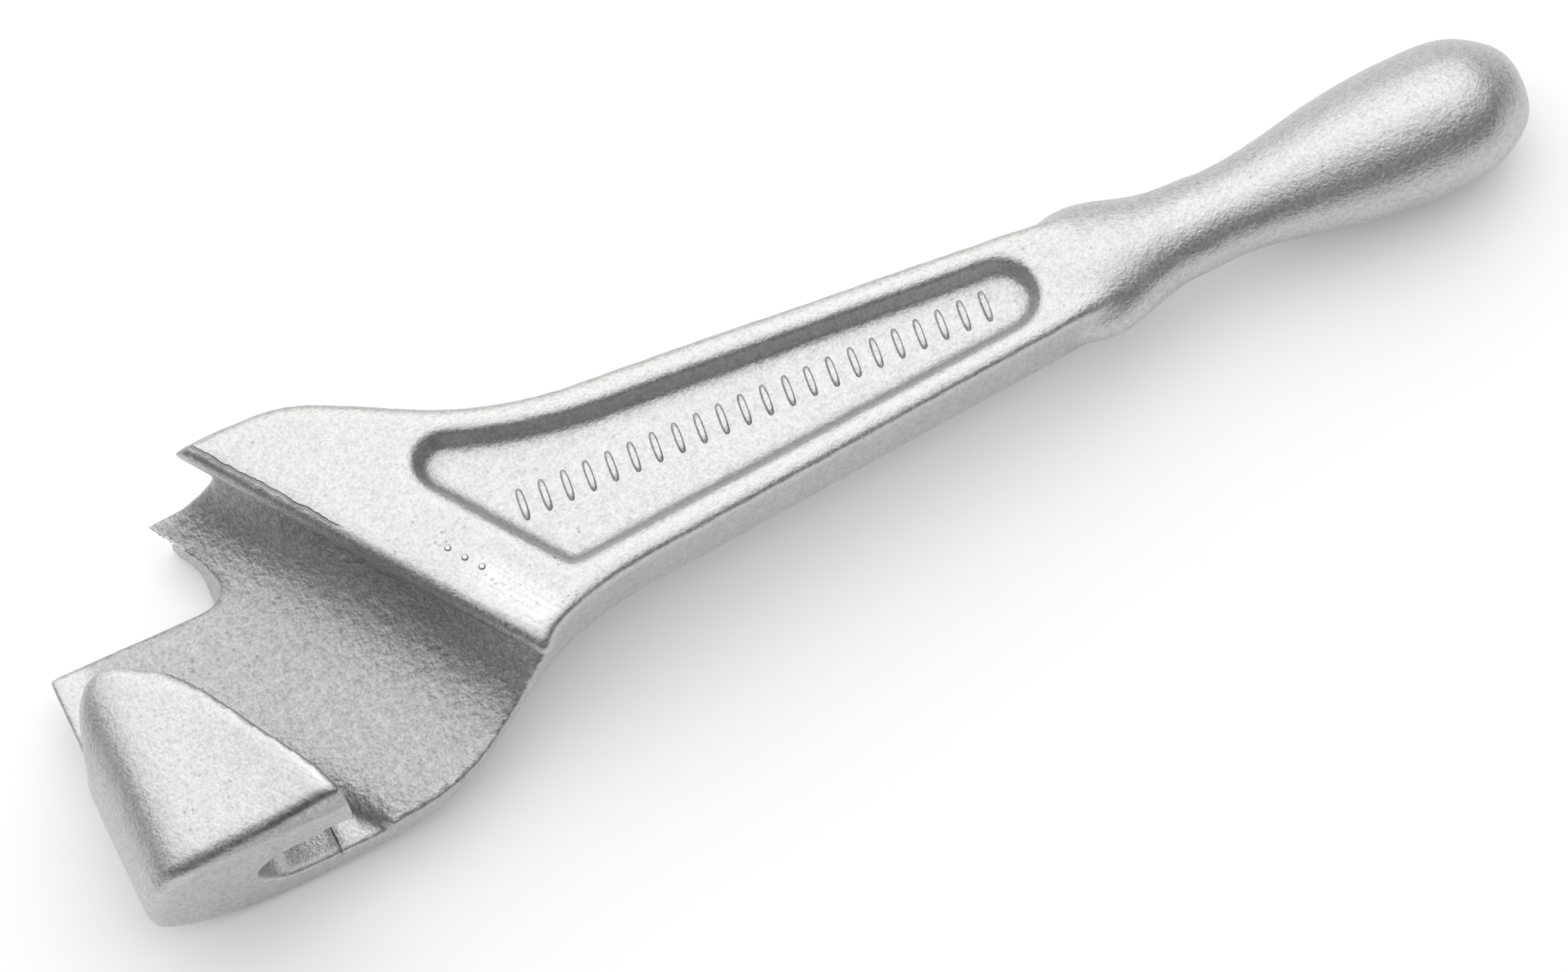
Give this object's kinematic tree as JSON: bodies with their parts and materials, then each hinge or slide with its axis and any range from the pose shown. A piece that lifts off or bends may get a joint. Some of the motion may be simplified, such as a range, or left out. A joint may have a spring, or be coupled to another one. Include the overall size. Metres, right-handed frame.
{
  "type": "valve wheel wrench",
  "caption": "One-piece cast aluminium valve-wheel wrench: bulb grip, tapered pocketed shank and a slanted hook jaw that grips a handwheel rim.",
  "frame": {"origin": "on the handle axis in the middle of the jaw, where the centre of a held rim sits", "axes": "+X along the handle, away from the jaw; +Z out of the pocketed face that carries the lip and tongue; +Y to the tool's left"},
  "size_m": [0.3792, 0.0968, 0.0568],
  "materials": {
    "cast_aluminium": "satin sand-cast"
  },
  "bodies": {
    "root": {"wrench_casting": "cast_aluminium"}
  },
  "joints": []
}
